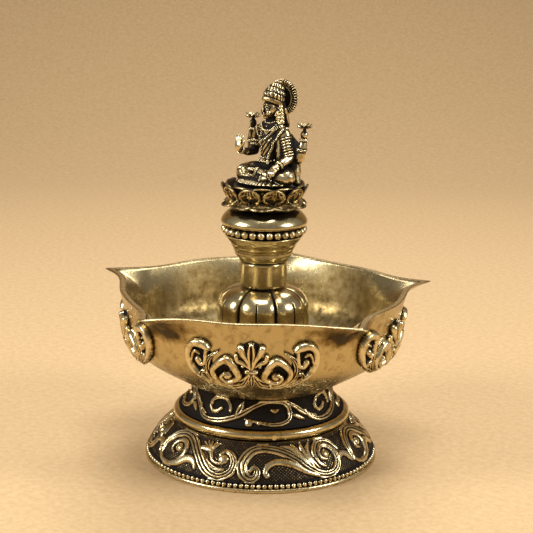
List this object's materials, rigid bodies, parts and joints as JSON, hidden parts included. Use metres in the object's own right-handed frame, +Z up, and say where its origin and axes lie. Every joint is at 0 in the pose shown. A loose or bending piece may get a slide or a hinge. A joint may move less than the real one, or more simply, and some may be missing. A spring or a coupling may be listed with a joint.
{
  "type": "oil lamp",
  "caption": "Brass oil lamp: a spouted bowl on a domed foot, held by a screw-in column that carries a seated goddess on a lotus throne.",
  "frame": {"origin": "on the lamp's vertical axis at table level, at the bottom of the tapped post", "axes": "+Z up the column, -Y the way the goddess and one spout face, +X to her left"},
  "size_m": [0.1132, 0.1086, 0.1266],
  "materials": {
    "polished_brass": "cast brass, turned and polished, with dark polish left in the corners",
    "antique_brass": "cast brass with black antique finish rubbed off its high places",
    "satin_brass": "cast brass, brushed, finely pitted and lightly stained",
    "seal_rubber": "thin dark brown rubber washer"
  },
  "bodies": {
    "foot": {"foot_skirt": "antique_brass", "foot_ring": "polished_brass", "ring_pin": "polished_brass", "pedestal": "antique_brass", "tapped_post": "satin_brass"},
    "bowl": {"bowl": "satin_brass", "cartouche_front": "antique_brass", "cartouche_right": "antique_brass", "cartouche_back_right": "antique_brass", "cartouche_back_left": "antique_brass", "cartouche_left": "antique_brass"},
    "seal": {"column_seal": "seal_rubber"},
    "column": {"petal_bell": "polished_brass", "neck": "polished_brass", "capital": "polished_brass", "bead_ring": "antique_brass", "cushion": "polished_brass", "column_stud": "satin_brass", "figure_screw": "satin_brass", "lotus_throne": "antique_brass", "goddess": "antique_brass"}
  },
  "joints": [
    {"name": "bowl_lift", "type": "slide", "parent": "foot", "child": "bowl", "axis": [0, 0, 1], "range_m": [0, 0.03]},
    {"name": "column_rise", "type": "slide", "parent": "bowl", "child": "seal", "axis": [0, 0, 1], "range_m": [0, 0.015]},
    {"name": "column_turn", "type": "hinge", "parent": "seal", "child": "column", "pos_m": [0, 0, 0.029], "axis": [0, 0, 1], "range_deg": [0, 3600]}
  ],
  "couplings": [
    {"joint": "column_turn", "follows": "column_rise", "rad_per_m": 4188.8}
  ]
}
